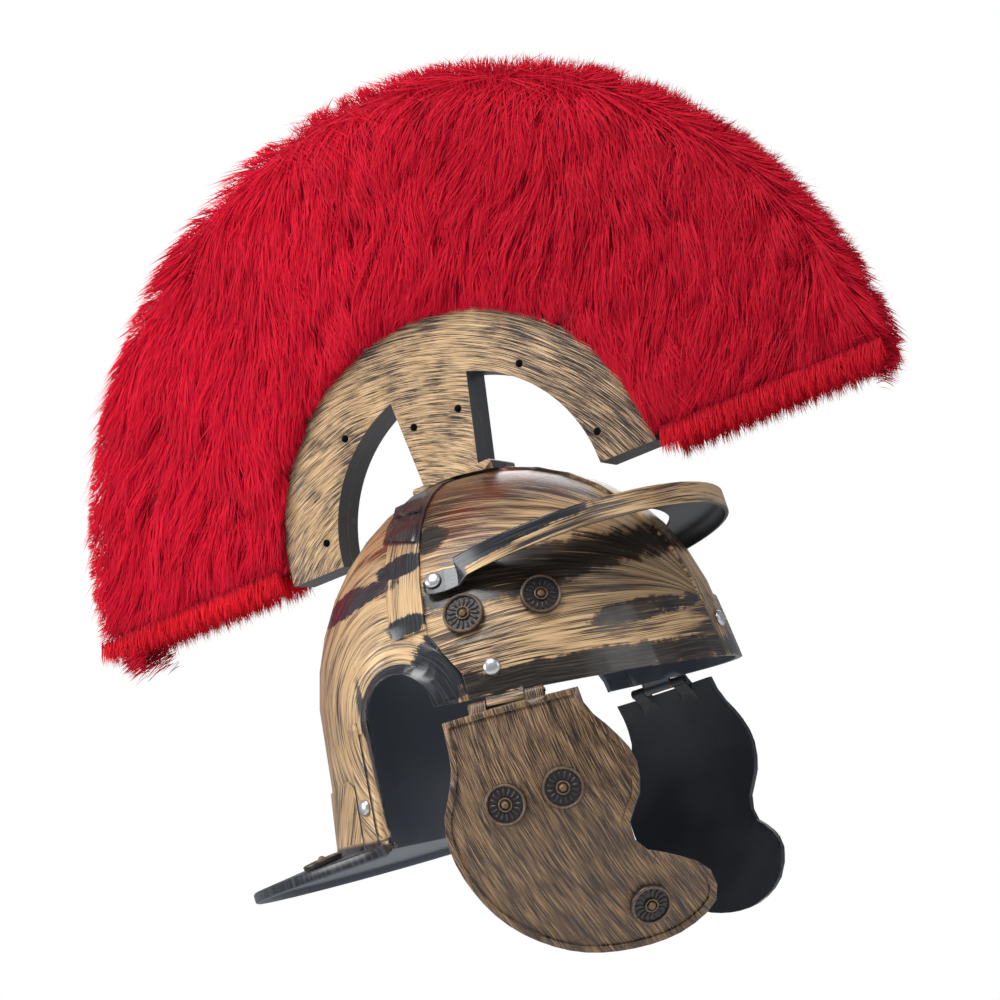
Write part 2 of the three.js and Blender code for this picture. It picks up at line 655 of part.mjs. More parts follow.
// One half of the crest holder: half a ring on a tapered stem with a foot, from the mid plane out to its flat face.
function crestHolderHalf() {
  const { radius, innerRadius, z, innerDrop, stemTopHalf, stemLowBack, stemLowFront, footTopZ } = HOLDER;
  const innerZ = z - innerDrop;
  const lowZ = -20;
  const shape = new THREE.Shape();
  const endZ = z + 0.5;
  const outerEnd = Math.asin((endZ - z) / radius);
  const innerEnd = Math.asin((endZ - innerZ) / innerRadius);
  const stemTurn = Math.acos(stemTopHalf / innerRadius);
  shape.absarc(CREST_Y, z, radius, outerEnd, Math.PI - outerEnd, false);
  shape.absarc(CREST_Y, innerZ, innerRadius, Math.PI - innerEnd, Math.PI - stemTurn, true);
  shape.lineTo(-stemLowFront, footTopZ);
  shape.lineTo(-stemLowFront, lowZ);
  shape.lineTo(stemLowBack, lowZ);
  shape.lineTo(stemLowBack, footTopZ);
  shape.absarc(CREST_Y, innerZ, innerRadius, stemTurn, innerEnd, true);
  shape.closePath();
  const depth = HOLDER.halfThickness - GAP / 2;
  const plate = new THREE.ExtrudeGeometry(shape, { depth, bevelEnabled: false, curveSegments: 28 });
  const toMidPlane = new THREE.Matrix4().makeBasis(
    new THREE.Vector3(0, 1, 0), new THREE.Vector3(0, 0, 1), new THREE.Vector3(1, 0, 0));
  plate.applyMatrix4(new THREE.Matrix4().makeTranslation(GAP / 2, 0, 0).multiply(toMidPlane));
  const footHalf = HOLDER.footHalf;
  const foot = acrossX(
    [[-footHalf, lowZ], [footHalf, lowZ], [footHalf, footTopZ - 1], [footHalf - 1, footTopZ],
      [1 - footHalf, footTopZ], [-footHalf, footTopZ - 1]], GAP / 2, HOLDER.footHalfThickness);
  let body = toManifold(plate).add(toManifold(foot)).subtract(filledBowl(MIDLINE.proud + GAP));
  for (const [y, up] of HOLDER_HOLES) {
    for (const side of [-1, 1]) {
      const hole = circle(HOLDER.holeRadius, 12).map(([dy, dz]) => [side * y + dy, up + dz]);
      body = body.subtract(toManifold(acrossX(hole, -1, 20)));
    }
  }
  return body;
}

// The fan of fur: a half ring of pile with a rounded outer edge.
function furCrest() {
  const sections = [];
  const steps = 32;
  const dip = Math.asin(FUR.endDrop / FUR.radius);
  for (let i = 0; i <= steps; i++) {
    const turn = THREE.MathUtils.lerp(-dip, Math.PI + dip, i / steps);
    const ray = new THREE.Vector3(0, Math.cos(turn), Math.sin(turn));
    const root = HOLDER.radius + GAP;
    const place = (radius, x) => new THREE.Vector3(x, CREST_Y, HOLDER.z).addScaledVector(ray, radius);
    const side = [
      [root, FUR.rootHalfThickness], [root + 30, FUR.halfThickness], [FUR.radius - 34, FUR.halfThickness],
      [FUR.radius - 12, FUR.halfThickness * 0.83], [FUR.radius - 3, FUR.halfThickness * 0.5],
    ];
    sections.push([
      ...side.map(([radius, x]) => place(radius, x)),
      place(FUR.radius, 0),
      ...side.reverse().map(([radius, x]) => place(radius, -x)),
    ]);
  }
  return loft(sections);
}

// ---------------------------------------------------------------- assembly

const materials = {
  plastic: new THREE.MeshStandardMaterial({ color: COLOURS.brass, roughness: 0.4, metalness: 0.4 }),
  dark: new THREE.MeshStandardMaterial({ color: COLOURS.plastic, roughness: 0.35, metalness: 0 }),
  silver: new THREE.MeshStandardMaterial({ color: COLOURS.silver, roughness: 0.3, metalness: 1 }),
  fur: new THREE.MeshStandardMaterial({ color: COLOURS.fur, roughness: 0.9, metalness: 0 }),
};

const helmet = new THREE.Group();

function add(name, geometry, material) {
  const mesh = new THREE.Mesh(geometry, material.clone());
  mesh.name = name;
  helmet.add(mesh);
}

// Adds a piece of the right side and its mirror image.
function addPair(name, geometry, material) {
  add(`${name}_right`, geometry, material);
  add(`${name}_left`, mirrored(mergeVertices(geometry.index ? geometry : mergeVertices(geometry))), material);
}

function addTurnedPair(name, geometry, material) {
  const bare = geometry.clone();
  bare.deleteAttribute("normal");
  bare.deleteAttribute("uv");
  addPair(name, mergeVertices(bare, 1e-4), material);
}

add("front_shell", toGeometry(frontShell()), materials.plastic);
add("back_shell", toGeometry(backShell()), materials.plastic);
add("brow_guard", toGeometry(browGuard()), materials.plastic);
addPair("cheek_guard", toGeometry(cheekGuard()), materials.plastic);
addPair("hinge_pin", hingePin(), materials.dark);
addPair("crest_holder", mirrored(toGeometry(crestHolderHalf())), materials.plastic);
add("fur_crest", furCrest(), materials.fur);

const rosette = rosetteGeometry();
addTurnedPair("rosette_bowl_rear", seatedOnBowl(rosette, -20.5, -78.3, 0), materials.dark);
addTurnedPair("rosette_bowl_front", seatedOnBowl(rosette, -54.2, -80.6, 0), materials.dark);
addTurnedPair("rosette_cheek_rear", seatedOnPlate(rosette, -8.7, 46.6), materials.dark);
addTurnedPair("rosette_cheek_front", seatedOnPlate(rosette, 18.1, 45.9), materials.dark);
addTurnedPair("rosette_cheek_tip", seatedOnPlate(rosette, 39.9, 105.8), materials.dark);
addTurnedPair("rosette_neck", seatedOnNeckGuard(rosette, 0.48, 0.51), materials.dark);

const rivet = rivetGeometry();
const tabRivet = seatedOnBowl(rivet, BROW_TAB.rivetY, BROW_TAB.rivetZ, BROW_TAB.proud + GAP);
addTurnedPair("rivet_brow_guard", tabRivet, materials.silver);
addTurnedPair("rivet_brow_band", seatedOnBowl(rivet, -27.3, -106.5, BROW_BAND.proud), materials.silver);
addTurnedPair("rivet_ear", seatedOnBowl(rivet, 60.2, -147.6, 1.2), materials.silver);
const browNormal = new THREE.Vector3(0, -1, 0.02).normalize();
const browFoot = bowlPoint(Math.PI, -110.5, MIDLINE.proud + 0.2);
add("rivet_brow_front", seated(rivet, browFoot, browNormal), materials.silver);

export default helmet;
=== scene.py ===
"""Looks of a costume helmet of a Roman legionary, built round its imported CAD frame.

Metres, +Z up, -Y to the front. A brushed bronze bowl with a brow guard, hinged cheek guards and a neck guard
carries a half-round holder with a fan of red fur.
"""
import json
import math

import bpy
import numpy as np
from mathutils import Matrix, Vector


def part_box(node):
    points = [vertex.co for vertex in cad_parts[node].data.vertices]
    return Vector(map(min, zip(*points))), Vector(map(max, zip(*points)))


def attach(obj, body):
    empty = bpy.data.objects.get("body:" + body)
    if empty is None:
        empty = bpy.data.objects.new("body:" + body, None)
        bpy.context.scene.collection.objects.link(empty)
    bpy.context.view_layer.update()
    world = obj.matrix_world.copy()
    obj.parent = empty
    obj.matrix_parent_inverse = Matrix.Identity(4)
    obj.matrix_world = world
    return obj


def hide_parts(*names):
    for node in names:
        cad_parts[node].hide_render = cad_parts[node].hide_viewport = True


bl_info = {
    "name": "Legionary Helmet",
    "version": (1, 0, 0),
    "blender": (4, 5, 0),
    "location": "3D View > Sidebar > Helmet",
    "description": "Builds the looks of a costume helmet round its CAD frame",
    "category": "Object",
}

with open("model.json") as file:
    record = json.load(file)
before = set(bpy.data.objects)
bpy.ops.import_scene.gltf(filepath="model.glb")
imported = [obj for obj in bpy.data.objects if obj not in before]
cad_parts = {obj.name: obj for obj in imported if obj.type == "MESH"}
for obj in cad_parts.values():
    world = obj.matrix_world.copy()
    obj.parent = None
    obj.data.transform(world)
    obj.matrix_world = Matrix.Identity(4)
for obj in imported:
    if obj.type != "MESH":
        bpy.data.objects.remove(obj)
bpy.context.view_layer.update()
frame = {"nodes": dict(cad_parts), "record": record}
NODES = frame["nodes"]
BODY_OF = {node: body for body, nodes in frame["record"]["behaviour"]["bodies"].items() for node in nodes}

BOWL_CENTRE = Vector((0, 0.0074, -0.1))
CREST_CENTRE = Vector((0, -0.001, -0.0188))
NECK_GUARD_TOP = -0.155
BOWL_ROUND = 0.105  # metres that a radian round the bowl is laid out as
EAR = (0.0225, -0.114)
EAR_LIP_RADIUS = 0.0243
HOLDER_RADIUS = 0.108
CAMERA_TURN = (-67.576, -10.686, -17.817)  # azimuth, elevation and roll in degrees
CAMERA_AIM = Vector((0, -0.01553, -0.01455))
CAMERA_AWAY = 1.14994
CAMERA_LENS = 80.8
GOLD_LOST = 0.16  # how far a wholly bare spot lowers the load of gold
FUR_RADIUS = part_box("fur_crest")[1].z - CREST_CENTRE.z


def paint(code):
    """A colour written as six hex digits, as linear red, green and blue."""
    parts = [int(code[i:i + 2], 16) / 255 for i in (0, 2, 4)]
    return tuple(p / 12.92 if p <= 0.04045 else ((p + 0.055) / 1.055) ** 2.4 for p in parts)


# ---------------------------------------------------------------- sizes and colours that a user would change


def colour_property(name, description, code):
    return bpy.props.FloatVectorProperty(
        name=name, description=description, subtype="COLOR", size=3, min=0, max=1, default=paint(code))


def length_property(name, description, metres):
    return bpy.props.FloatProperty(
        name=name, description=description, unit="LENGTH", min=0, precision=4, default=metres)


class HelmetFinishes(bpy.types.PropertyGroup):
    plastic: colour_property("Plastic", "Charcoal of the bare moulded plastic", "1e2024")
    worn: colour_property("Worn plastic", "Blue grey of the plastic where it is scuffed", "3d3f44")
    brass: colour_property("Brass", "Antique gold that is brushed over the plastic", "b58e60")
    pale_brass: colour_property("Pale brass", "Lightest tone of the brushed gold", "d8b88c")
    brown: colour_property("Brown", "Thin brown where the gold is rubbed in", "6b4a30")
    copper_gold: colour_property("Copper gold", "Gold where it is brushed thin over copper", "9c6d4e")
    copper: colour_property("Copper", "Reddish tint near the crown and the back", "5e2817")
    inside: colour_property("Inside", "Near black of the cheek guards' unpainted inside", "1b1e23")
    bowl_inside: colour_property("Inside of the bowl", "Slate of the bowl's unpainted inside", "3c434d")
    front_plastic: colour_property("Front plastic", "Brown black ground of the front shell", "1d1916")
    front_worn: colour_property("Worn front plastic", "Scuffed ground of the front shell", "423930")
    bronze: colour_property("Bronze", "Darker gold of the cheek guards", "6e5640")
    pale_bronze: colour_property("Pale bronze", "Paler gold of the cheek guards", "b08d66")
    umber: colour_property("Umber", "Brown black ground of the cheek guards", "171412")
    worn_umber: colour_property("Worn umber", "Scuffed ground of the cheek guards", "2b2520")
    silver: colour_property("Silver", "Rivet heads", "d2d2d4")
    fur: colour_property("Fur", "Crimson of the pile", "d80a2e")
    # Painted shade: the deep red that the pile darkens to at its roots, between its locks and towards the
    # front of the fan. It also streaks the core's backing.
    fur_shadow: colour_property("Fur root", "Deep red at the roots of the pile", "ab0520")
    # Painted highlight: the pink that the pile's tips are lightened to, where they catch the light.
    fur_tip: colour_property("Fur tip", "Pinkish red at the tips of the pile", "f42e50")
    # Painted highlight: the pink that the rim's tufts are lightened to, where they catch the light.
    tuft_tip: colour_property("Tuft tip", "Pink of the tufts that stand out of the rim", "ff6684")
    fringe: colour_property("Fringe", "Bright red of the turned-up hem", "e21426")


class HelmetSizes(bpy.types.PropertyGroup):
    streak_width: length_property("Streak width", "Width of the finest brush streak", 0.00042)
    streak_length: length_property("Streak length", "Length of the finest brush streak", 0.03)
    edge_radius: length_property("Edge radius", "How far the moulded edges look rounded", 0.0007)
    pile_length: length_property("Pile length", "Length of the fur on the sides of the fan", 0.026)
    tuft_length: length_property("Tuft length", "Length of the fur that stands out of the fan's rim", 0.0125)
    strand_width: length_property("Strand width", "Width of a strand at its root", 0.0005)
    clumps_a_side: bpy.props.IntProperty(
        name="Clumps a side", description="Locks of fur on each side of the fan", min=1, default=2400)
    strands_a_clump: bpy.props.IntProperty(
        name="Strands a clump", description="Strands in each lock of fur", min=1, default=24)


# ---------------------------------------------------------------- shader sums


class Socket:
    """An output of a shader node that takes part in Python sums."""

    def __init__(self, finish, output):
        self.finish = finish
        self.output = output

    def maths(self, operation, *values):
        return self.finish.node("ShaderNodeMath", {"operation": operation}, dict(enumerate(values)))

    def __add__(self, other):
        return self.maths("ADD", self, other)

    def __sub__(self, other):
        return self.maths("SUBTRACT", self, other)

    def __rsub__(self, other):
        return self.maths("SUBTRACT", other, self)

    def __mul__(self, other):
        return self.maths("MULTIPLY", self, other)

    def __truediv__(self, other):
        return self.maths("DIVIDE", self, other)

    def __pow__(self, other):
        return self.maths("POWER", self, other)

    def __abs__(self):
        return self.maths("ABSOLUTE", self)

    __radd__ = __add__
    __rmul__ = __mul__

    def most(self, other):
        return self.maths("MAXIMUM", self, other)

    def bearing(self, other):
        """The angle whose tangent is this over the other."""
        return self.maths("ARCTAN2", self, other)

    def rising(self, low, high):
        """0 below low, 1 above high and smooth between."""
        sockets = {"Value": self, "From Min": low, "From Max": high}
        return self.finish.node("ShaderNodeMapRange", {"interpolation_type": "SMOOTHSTEP"}, sockets)

    def other(self, name):
        """Another output of the same node."""
        return Socket(self.finish, self.output.node.outputs[name])


class Finish:
    """A material, built up node by node from the place of each point on the object."""

    def __init__(self, name):
        self.material = bpy.data.materials.new(name)
        self.material.use_nodes = True
        self.tree = self.material.node_tree
        self.tree.nodes.clear()
        self.place = self.node("ShaderNodeTexCoord").other("Object")
        apart = self.node("ShaderNodeSeparateXYZ", {}, {0: self.place})
        self.x, self.y, self.z = (apart.other(axis) for axis in "XYZ")

    def node(self, kind, settings=None, sockets=None):
        made = self.tree.nodes.new(kind)
        for name, value in (settings or {}).items():
            setattr(made, name, value)
        for key, value in (sockets or {}).items():
            if isinstance(value, Socket):
                self.tree.links.new(value.output, made.inputs[key])
            elif isinstance(value, (tuple, list)) or hasattr(value, "r"):
                slots = len(made.inputs[key].default_value)
                made.inputs[key].default_value = (*value[:3], 1) if slots == 4 else value
            else:
                made.inputs[key].default_value = value
        return Socket(self, made.outputs[0] if made.outputs else None)

    def vector(self, x, y, z=0.0):
        return self.node("ShaderNodeCombineXYZ", {}, {0: x, 1: y, 2: z})

    def noise(self, vector, scale, detail=2.0, roughness=0.5):
        sockets = {"Vector": vector, "Scale": scale, "Detail": detail, "Roughness": roughness}
        return self.node("ShaderNodeTexNoise", {}, sockets)

    def strokes(self, across, along, width, length, detail=2.0):
        """Noise drawn out along a brush stroke."""
        return self.noise(self.vector(across * (1 / width), along * (1 / length)), 1.0, detail, 0.6)

    def blend(self, share, first, second):
        """The first colour where share is 0, and the second where it is 1."""
        made = self.tree.nodes.new("ShaderNodeMix")
        made.data_type = "RGBA"
        for index, value in ((0, share), (6, first), (7, second)):
            if isinstance(value, Socket):
                self.tree.links.new(value.output, made.inputs[index])
            else:
                made.inputs[index].default_value = value if index == 0 else (*value[:3], 1)
        return Socket(self, made.outputs[2])

    def pick(self, share, first, second):
        """The first number where share is 0, and the second where it is 1."""
        return first + (second - first) * share

    def rounded(self, radius):
        return self.node("ShaderNodeBevel", {"samples": 4}, {"Radius": radius})

    def edges(self, radius):
        """1 on the moulded edges and 0 on the faces."""
        normal = self.node("ShaderNodeNewGeometry").other("Normal")
        both = {0: self.rounded(radius), 1: normal}
        likeness = self.node("ShaderNodeVectorMath", {"operation": "DOT_PRODUCT"}, both)
        return (1.0 - likeness.other("Value")).rising(0.02, 0.3)

    def surface(self, sockets, height=None, depth=0.0, radius=None):
        """The finished surface, with a bump of the given height and depth in metres and rounded edges."""
        shader = {**sockets}
        if height is not None:
            relief = {"Height": height, "Distance": depth, "Strength": 1.0}
            if radius:
                relief["Normal"] = self.rounded(radius)
            shader["Normal"] = self.node("ShaderNodeBump", {}, relief)
        made = self.node("ShaderNodeBsdfPrincipled", {}, shader)
        self.node("ShaderNodeOutputMaterial", {}, {"Surface": made})
        return self.material


# ---------------------------------------------------------------- finishes


def finishes():
    return bpy.context.scene.helmet_finishes


def sizes():
    return bpy.context.scene.helmet_sizes


def spot(finish, u, v, half_u, half_v, rag=0.5):
    """A soft spot about u = v = 0 with a ragged edge: 1 inside and 0 outside."""
    across, up = u / half_u, v / half_v
    ragged = finish.noise(finish.place, 120.0, 3.0, 0.6)
    return 1.0 - (across * across + up * up + (ragged - 0.5) * (4 * rag)).rising(0.4, 1.4)


def patch(finish, y, z, half_y, half_z, rag=0.5):
    """A spot on the side of the helmet."""
    return spot(finish, finish.y - y, finish.z - z, half_y, half_z, rag)


def brushed(name, across, along, bare=None, cover=0.5, tint=None, fine=1.0, golds=None,
            shares=(0.45, 0.3, 0.25), base=None, rub_edges=0.07):
    """Charcoal plastic with antique gold brushed over it.

    across and along are made by functions of the finish: metres across and along the brush strokes. bare is
    where the gold is left off, tint where the plastic is copper red, and cover the share that the gold covers.
    golds are its darker and its paler tone, and base the tones of the plastic. fine scales the strokes, shares
    are what thin, middle and broad strokes add, and rub_edges is how much gold the moulded edges take.
    """
    finish = Finish(name)
    colours = finishes()
    size = sizes()
    u, v = across(finish), along(finish)
    width, length = size.streak_width * fine, size.streak_length * fine
    drift = finish.noise(finish.place, 9.0, 2.0)
    u = u + (drift - 0.5) * 0.012
    thin = finish.strokes(u, v, width, length, 3.0)
    middle = finish.strokes(u + 0.3, v, width * 3, length * 1.4, 3.0)
    broad = finish.strokes(u + 0.7, v, width * 22, length * 1.6, 1.0)
    load = thin * shares[0] + middle * shares[1] + broad * shares[2]
    if bare:
        load = load - bare(finish) * GOLD_LOST
    edge = finish.edges(size.edge_radius)
    load = load + edge * rub_edges
    low = 0.5 + (0.5 - cover) * 0.22
    gold_on = load.rising(low - 0.05, low + 0.045)
    rubbed = load.rising(low - 0.12, low)
    tone = (thin * 0.6 + middle * 0.4).rising(0.35, 0.66)
    brass = finish.blend(tone.most(edge), *(golds or (colours.brass, colours.pale_brass)))
    scuff = finish.strokes(u + 0.1, v, width * 2, length * 0.8).rising(0.42, 0.7)
    plastic = finish.blend(scuff, *(base or (colours.plastic, colours.worn)))
    if tint:
        redness = tint(finish)
        plastic = finish.blend(redness, plastic, colours.copper)
        brass = finish.blend(redness * 0.6, brass, colours.copper_gold)
    stained = finish.blend(rubbed * 0.55, plastic, colours.brown)
    colour = finish.blend(gold_on, stained, brass)
    return finish.surface(
        {
            "Base Color": colour,
            "Metallic": gold_on * 0.25,
            "Roughness": finish.pick(gold_on, 0.26, 0.42),
        },
        height=gold_on * 0.6 + thin * 0.4, depth=0.00008, radius=size.edge_radius)


# ---------------------------------------------------------------- stroke directions, bare spots and tints


def step_at(value, edge, softness=0.0003):
    return value.rising(edge - softness, edge + softness)


def front_band(finish):
    return 1.0 - step_at(finish.z - finish.y * 0.055, -0.091)


def front_middle(finish):
    return 1.0 - step_at(abs(finish.x), 0.0102)


def front_across(finish):
    round_bowl = (finish.z + 0.1).bearing(abs(finish.x)) * BOWL_ROUND
    level = finish.z - finish.y * 0.12
    shell = finish.pick(front_band(finish), round_bowl, level)
    return finish.pick(front_middle(finish), shell, finish.x)


def front_along(finish):
    round_head = finish.y.bearing(abs(finish.x)) * BOWL_ROUND
    shell = finish.pick(front_band(finish), finish.y, round_head)
    return finish.pick(front_middle(finish), shell, finish.z - finish.y)


def beside_step(finish):
    return patch(finish, -0.007, -0.035, 0.008, 0.007)


def front_bare(finish):
    # Gold left off under the brow guard's overhang. The darkening also stands in as painted shade cast by the
    # guard.
    under_guard = patch(finish, -0.05, -0.066, 0.06, 0.011) * 0.85
    crown = finish.z.rising(-0.045, -0.012) * 0.62
    band_front = patch(finish, -0.088, -0.099, 0.016, 0.005, 0.8) * 0.9
    band_foot = spot(finish, finish.y + 0.066, finish.z - finish.y * 0.125 + 0.1105, 0.06, 0.007) * 1.1
    corner = patch(finish, -0.012, -0.112, 0.014, 0.007) * 1.1
    mottled = finish.noise(finish.place, 30.0, 2.0).rising(0.4, 0.75) * front_band(finish) * 0.3
    step = beside_step(finish) * 1.3
    return under_guard.most(step).most(crown).most(band_front).most(band_foot).most(corner).most(mottled)


def crown_tint(finish):
    high = finish.z.rising(-0.062, -0.015) * (1.0 - beside_step(finish))
    return high * finish.noise(finish.place, 26.0, 2.0).rising(0.36, 0.58)


def back_polar(finish):
    """Developed metres away from the ear and the angle round it."""
    level = (finish.y - 0.007).bearing(abs(finish.x)) * BOWL_ROUND
    flat = (finish.x * finish.x + (finish.y - 0.007) ** 2.0) ** 0.5
    rise = (finish.z + 0.115).bearing(flat) * BOWL_ROUND
    east = level - 0.017
    away = (east * east + rise * rise) ** 0.5
    return away, rise.bearing(east)


def seam_strip(finish):
    return (1.0 - step_at(finish.y, 0.018)) * step_at(finish.z, -0.079)


def back_flange(finish):
    return 1.0 - step_at(finish.z - finish.y * 0.105, -0.1705, 0.001)


def nape_panel(finish):
    return step_at(finish.y, 0.068) * (1.0 - step_at(finish.z, -0.132))


def back_across(finish):
    away, _ = back_polar(finish)
    shell = finish.pick(seam_strip(finish), away, finish.y + finish.z * 0.08)
    panel = finish.pick(nape_panel(finish), shell, finish.y + finish.z * 0.8)
    return finish.pick(back_flange(finish), panel, (finish.x * finish.x + finish.y * finish.y) ** 0.5)


def back_along(finish):
    away, turn = back_polar(finish)
    shell = finish.pick(seam_strip(finish), turn * away, finish.z)
    panel = finish.pick(nape_panel(finish), shell, finish.z - finish.y * 0.8)
    return finish.pick(back_flange(finish), panel, finish.x.bearing(finish.y) * 0.12)


def step_plates(finish):
    return step_at(finish.z - finish.y * 0.3, -0.034, 0.002) * (1.0 - step_at(finish.y, 0.022, 0.001))


def back_bare(finish):
    steps = step_plates(finish) * 1.6
    strip = patch(finish, 0.009, -0.044, 0.014, 0.005) * 2.0
    strip_foot = patch(finish, 0.008, -0.074, 0.012, 0.005) * 1.5
    corner = patch(finish, -0.003, -0.1, 0.014, 0.016) * 2.0
    band = patch(finish, 0.05, -0.05, 0.035, 0.006) * 1.2
    ear = patch(finish, 0.045, -0.128, 0.004, 0.04) * 0.8
    beside = finish.y - EAR[0]
    above = (finish.z - EAR[1]).most(0.0)
    lip = (1.0 - step_at((beside * beside + above * above) ** 0.5, EAR_LIP_RADIUS, 0.0006)) * 2.0
    reach = (finish.x * finish.x + finish.y * finish.y) ** 0.5
    rim = back_flange(finish) * reach.rising(0.1, 0.125) * 1.3
    return steps.most(strip).most(strip_foot).most(corner).most(band).most(ear).most(lip).most(rim)


def back_tint(finish):
    behind = finish.y.rising(0.05, 0.09) * finish.z.rising(-0.16, -0.1)
    high = finish.z.rising(-0.06, -0.02) * (1.0 - step_plates(finish) * 0.75)
    return behind.most(high) * finish.noise(finish.place, 18.0, 2.0).rising(0.4, 0.58)


def guard_across(finish):
    return finish.z + finish.y * 0.056


def guard_along(finish):
    return finish.y.bearing(finish.x) * 0.09


def guard_bare(finish):
    level = finish.z + finish.y * 0.056
    upper = spot(finish, finish.y + 0.03, level + 0.0525, 0.06, 0.0062, 0.3) * 2.0
    tab = finish.y.rising(-0.03, -0.024) * 2.0
    return upper.most(tab)


def cheek_across(finish):
    return finish.y - finish.z * 0.13


def cheek_along(finish):
    return finish.z + finish.y * 0.13


def holder_sweep(finish):
    """How far forwards and up from the point that the holder's brush strokes curve round."""
    return finish.y - 0.037, finish.z + 0.0775


def holder_across(finish):
    forwards, up = holder_sweep(finish)
    return (forwards * forwards + up * up) ** 0.5


def holder_along(finish):
    forwards, up = holder_sweep(finish)
    return forwards.bearing(up) * 0.14


def holder_bare(finish):
    front_leg = (0.0 - finish.y).rising(0.0, 0.09) * 0.42
    back_foot = (finish.y - finish.z).rising(0.075, 0.12) * 0.3
    cloudy = finish.noise(finish.place, 60.0, 3.0).rising(0.4, 0.7) * 0.35
    return front_leg.most(back_foot).most(cloudy)


# ---------------------------------------------------------------- other finishes


def bare_plastic(name, colour, gloss, lines=0.0):
    """Unpainted plastic with faint lines and cloudy gloss."""
    finish = Finish(name)
    cloud = finish.noise(finish.place, 22.0, 3.0)
    ribs = finish.strokes(finish.z, finish.y, 0.0012, 0.09)
    wear = cloud.rising(0.35, 0.7) * 0.5 + ribs.rising(0.5, 0.7) * lines
    tone = finish.blend(wear, colour, finishes().worn)
    roughness = finish.pick(cloud, gloss - 0.06, gloss + 0.1)
    return finish.surface({"Base Color": tone, "Roughness": roughness},
                          height=cloud + ribs * 0.3, depth=0.0002, radius=sizes().edge_radius)


def rosette_finish():
    """Dark dish with gold rubbed on whatever stands up: V of the piece's UV map is height over the dish."""
    finish = Finish("rosette_bronze")
    colours = finishes()
    carried = finish.node("ShaderNodeTexCoord").other("UV")
    height = finish.node("ShaderNodeSeparateXYZ", {}, {0: carried}).other("Y")
    rub = (height + (finish.noise(finish.place, 900.0, 3.0) - 0.5) * 0.8).rising(0.65, 1.2)
    dark = finish.blend(finish.noise(finish.place, 300.0) * 0.2, colours.inside, colours.brown)
    return finish.surface(
        {
            "Base Color": finish.blend(rub * 0.45, dark, colours.brass),
            "Metallic": rub * 0.4,
            "Roughness": finish.pick(rub, 0.3, 0.4),
        },
        height=finish.noise(finish.place, 1500.0), depth=0.0001)


def silver_finish():
    finish = Finish("satin_silver")
    scratch = finish.noise(finish.place, 1200.0, 3.0)
    return finish.surface(
        {
            "Base Color": finish.blend(scratch * 0.3, finishes().silver, finishes().worn),
            "Metallic": 0.85,
            "Roughness": finish.pick(scratch, 0.22, 0.42),
        },
        height=scratch, depth=0.00006)


def fur_finish(name, body, root, tip):
    """Pile whose strands carry their own tone as U and the way from root to tip as V."""
    finish = Finish(name)
    strand = finish.node("ShaderNodeTexCoord").other("UV")
    apart = finish.node("ShaderNodeSeparateXYZ", {}, {0: strand})
    tone, way = apart, apart.other("Y")
    wave = finish.noise(finish.place, 26.0, 3.0)
    # Painted shade: each strand darkens to the root colour near its root.
    deep = finish.blend(way.rising(0.0, 0.3), root, body)
    # Painted highlight: the tips are lightened towards the tip colour.
    lit = finish.blend(way.rising(0.6, 1.1) * tone.rising(0.35, 1.0) * 0.5, deep, tip)
    # Painted shade: the pile darkens to the root colour between its locks, where the wave noise is low.
    shade = finish.blend((0.6 - wave).rising(0.0, 0.3) * 0.4 * (1.0 - tone * 0.5), lit, root)
    # Painted shade: the pile darkens to the root colour towards the front of the fan, where less light falls.
    front = (0.0 - finish.y).rising(-0.14, 0.24) * 0.6
    return finish.surface({
        "Base Color": finish.blend(front, shade, root), "Roughness": 0.6, "Specular IOR Level": 0.12,
    })


# ---------------------------------------------------------------- making and placing pieces


def only(piece):
    """Selects one piece and nothing else, as the active one."""
    bpy.ops.object.select_all(action="DESELECT")
    piece.select_set(True)
    bpy.context.view_layer.objects.active = piece


def smoothed_copy(node):
    """A copy of a CAD node with its loose triangles joined and its round faces smooth."""
    source = NODES[node]
    piece = bpy.data.objects.new(f"{node}_shell", source.data.copy())
    bpy.context.scene.collection.objects.link(piece)
    only(piece)
    bpy.ops.object.mode_set(mode="EDIT")
    bpy.ops.mesh.select_all(action="SELECT")
    bpy.ops.mesh.remove_doubles(threshold=0.00001)
    bpy.ops.object.mode_set(mode="OBJECT")
    bpy.ops.object.shade_smooth_by_angle(angle=math.radians(32))
    weigh = piece.modifiers.new("even_shading", "WEIGHTED_NORMAL")
    weigh.keep_sharp = True
    weigh.weight = 80
    bpy.ops.object.modifier_apply(modifier=weigh.name)
    return piece


def dress(piece, node, painted, bare=None, is_bare=None):
    """Gives a piece its finishes and its body, and hides the CAD node that it stands for."""
    piece.data.materials.clear()
    piece.data.materials.append(painted)
    if bare:
        piece.data.materials.append(bare)
        for face in piece.data.polygons:
            face.material_index = int(is_bare(face.center, face.normal))
    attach(piece, BODY_OF[node])
    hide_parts(node)


def faces_head(centre, normal):
    """True on the inside of the bowl and under the neck guard."""
    if centre.z < NECK_GUARD_TOP:
        level = Vector((centre.x, centre.y - BOWL_CENTRE.y, 0)).normalized()
        return normal.z < -0.5 or normal.dot(level) < -0.3
    return normal.dot((centre - BOWL_CENTRE).normalized()) < -0.25


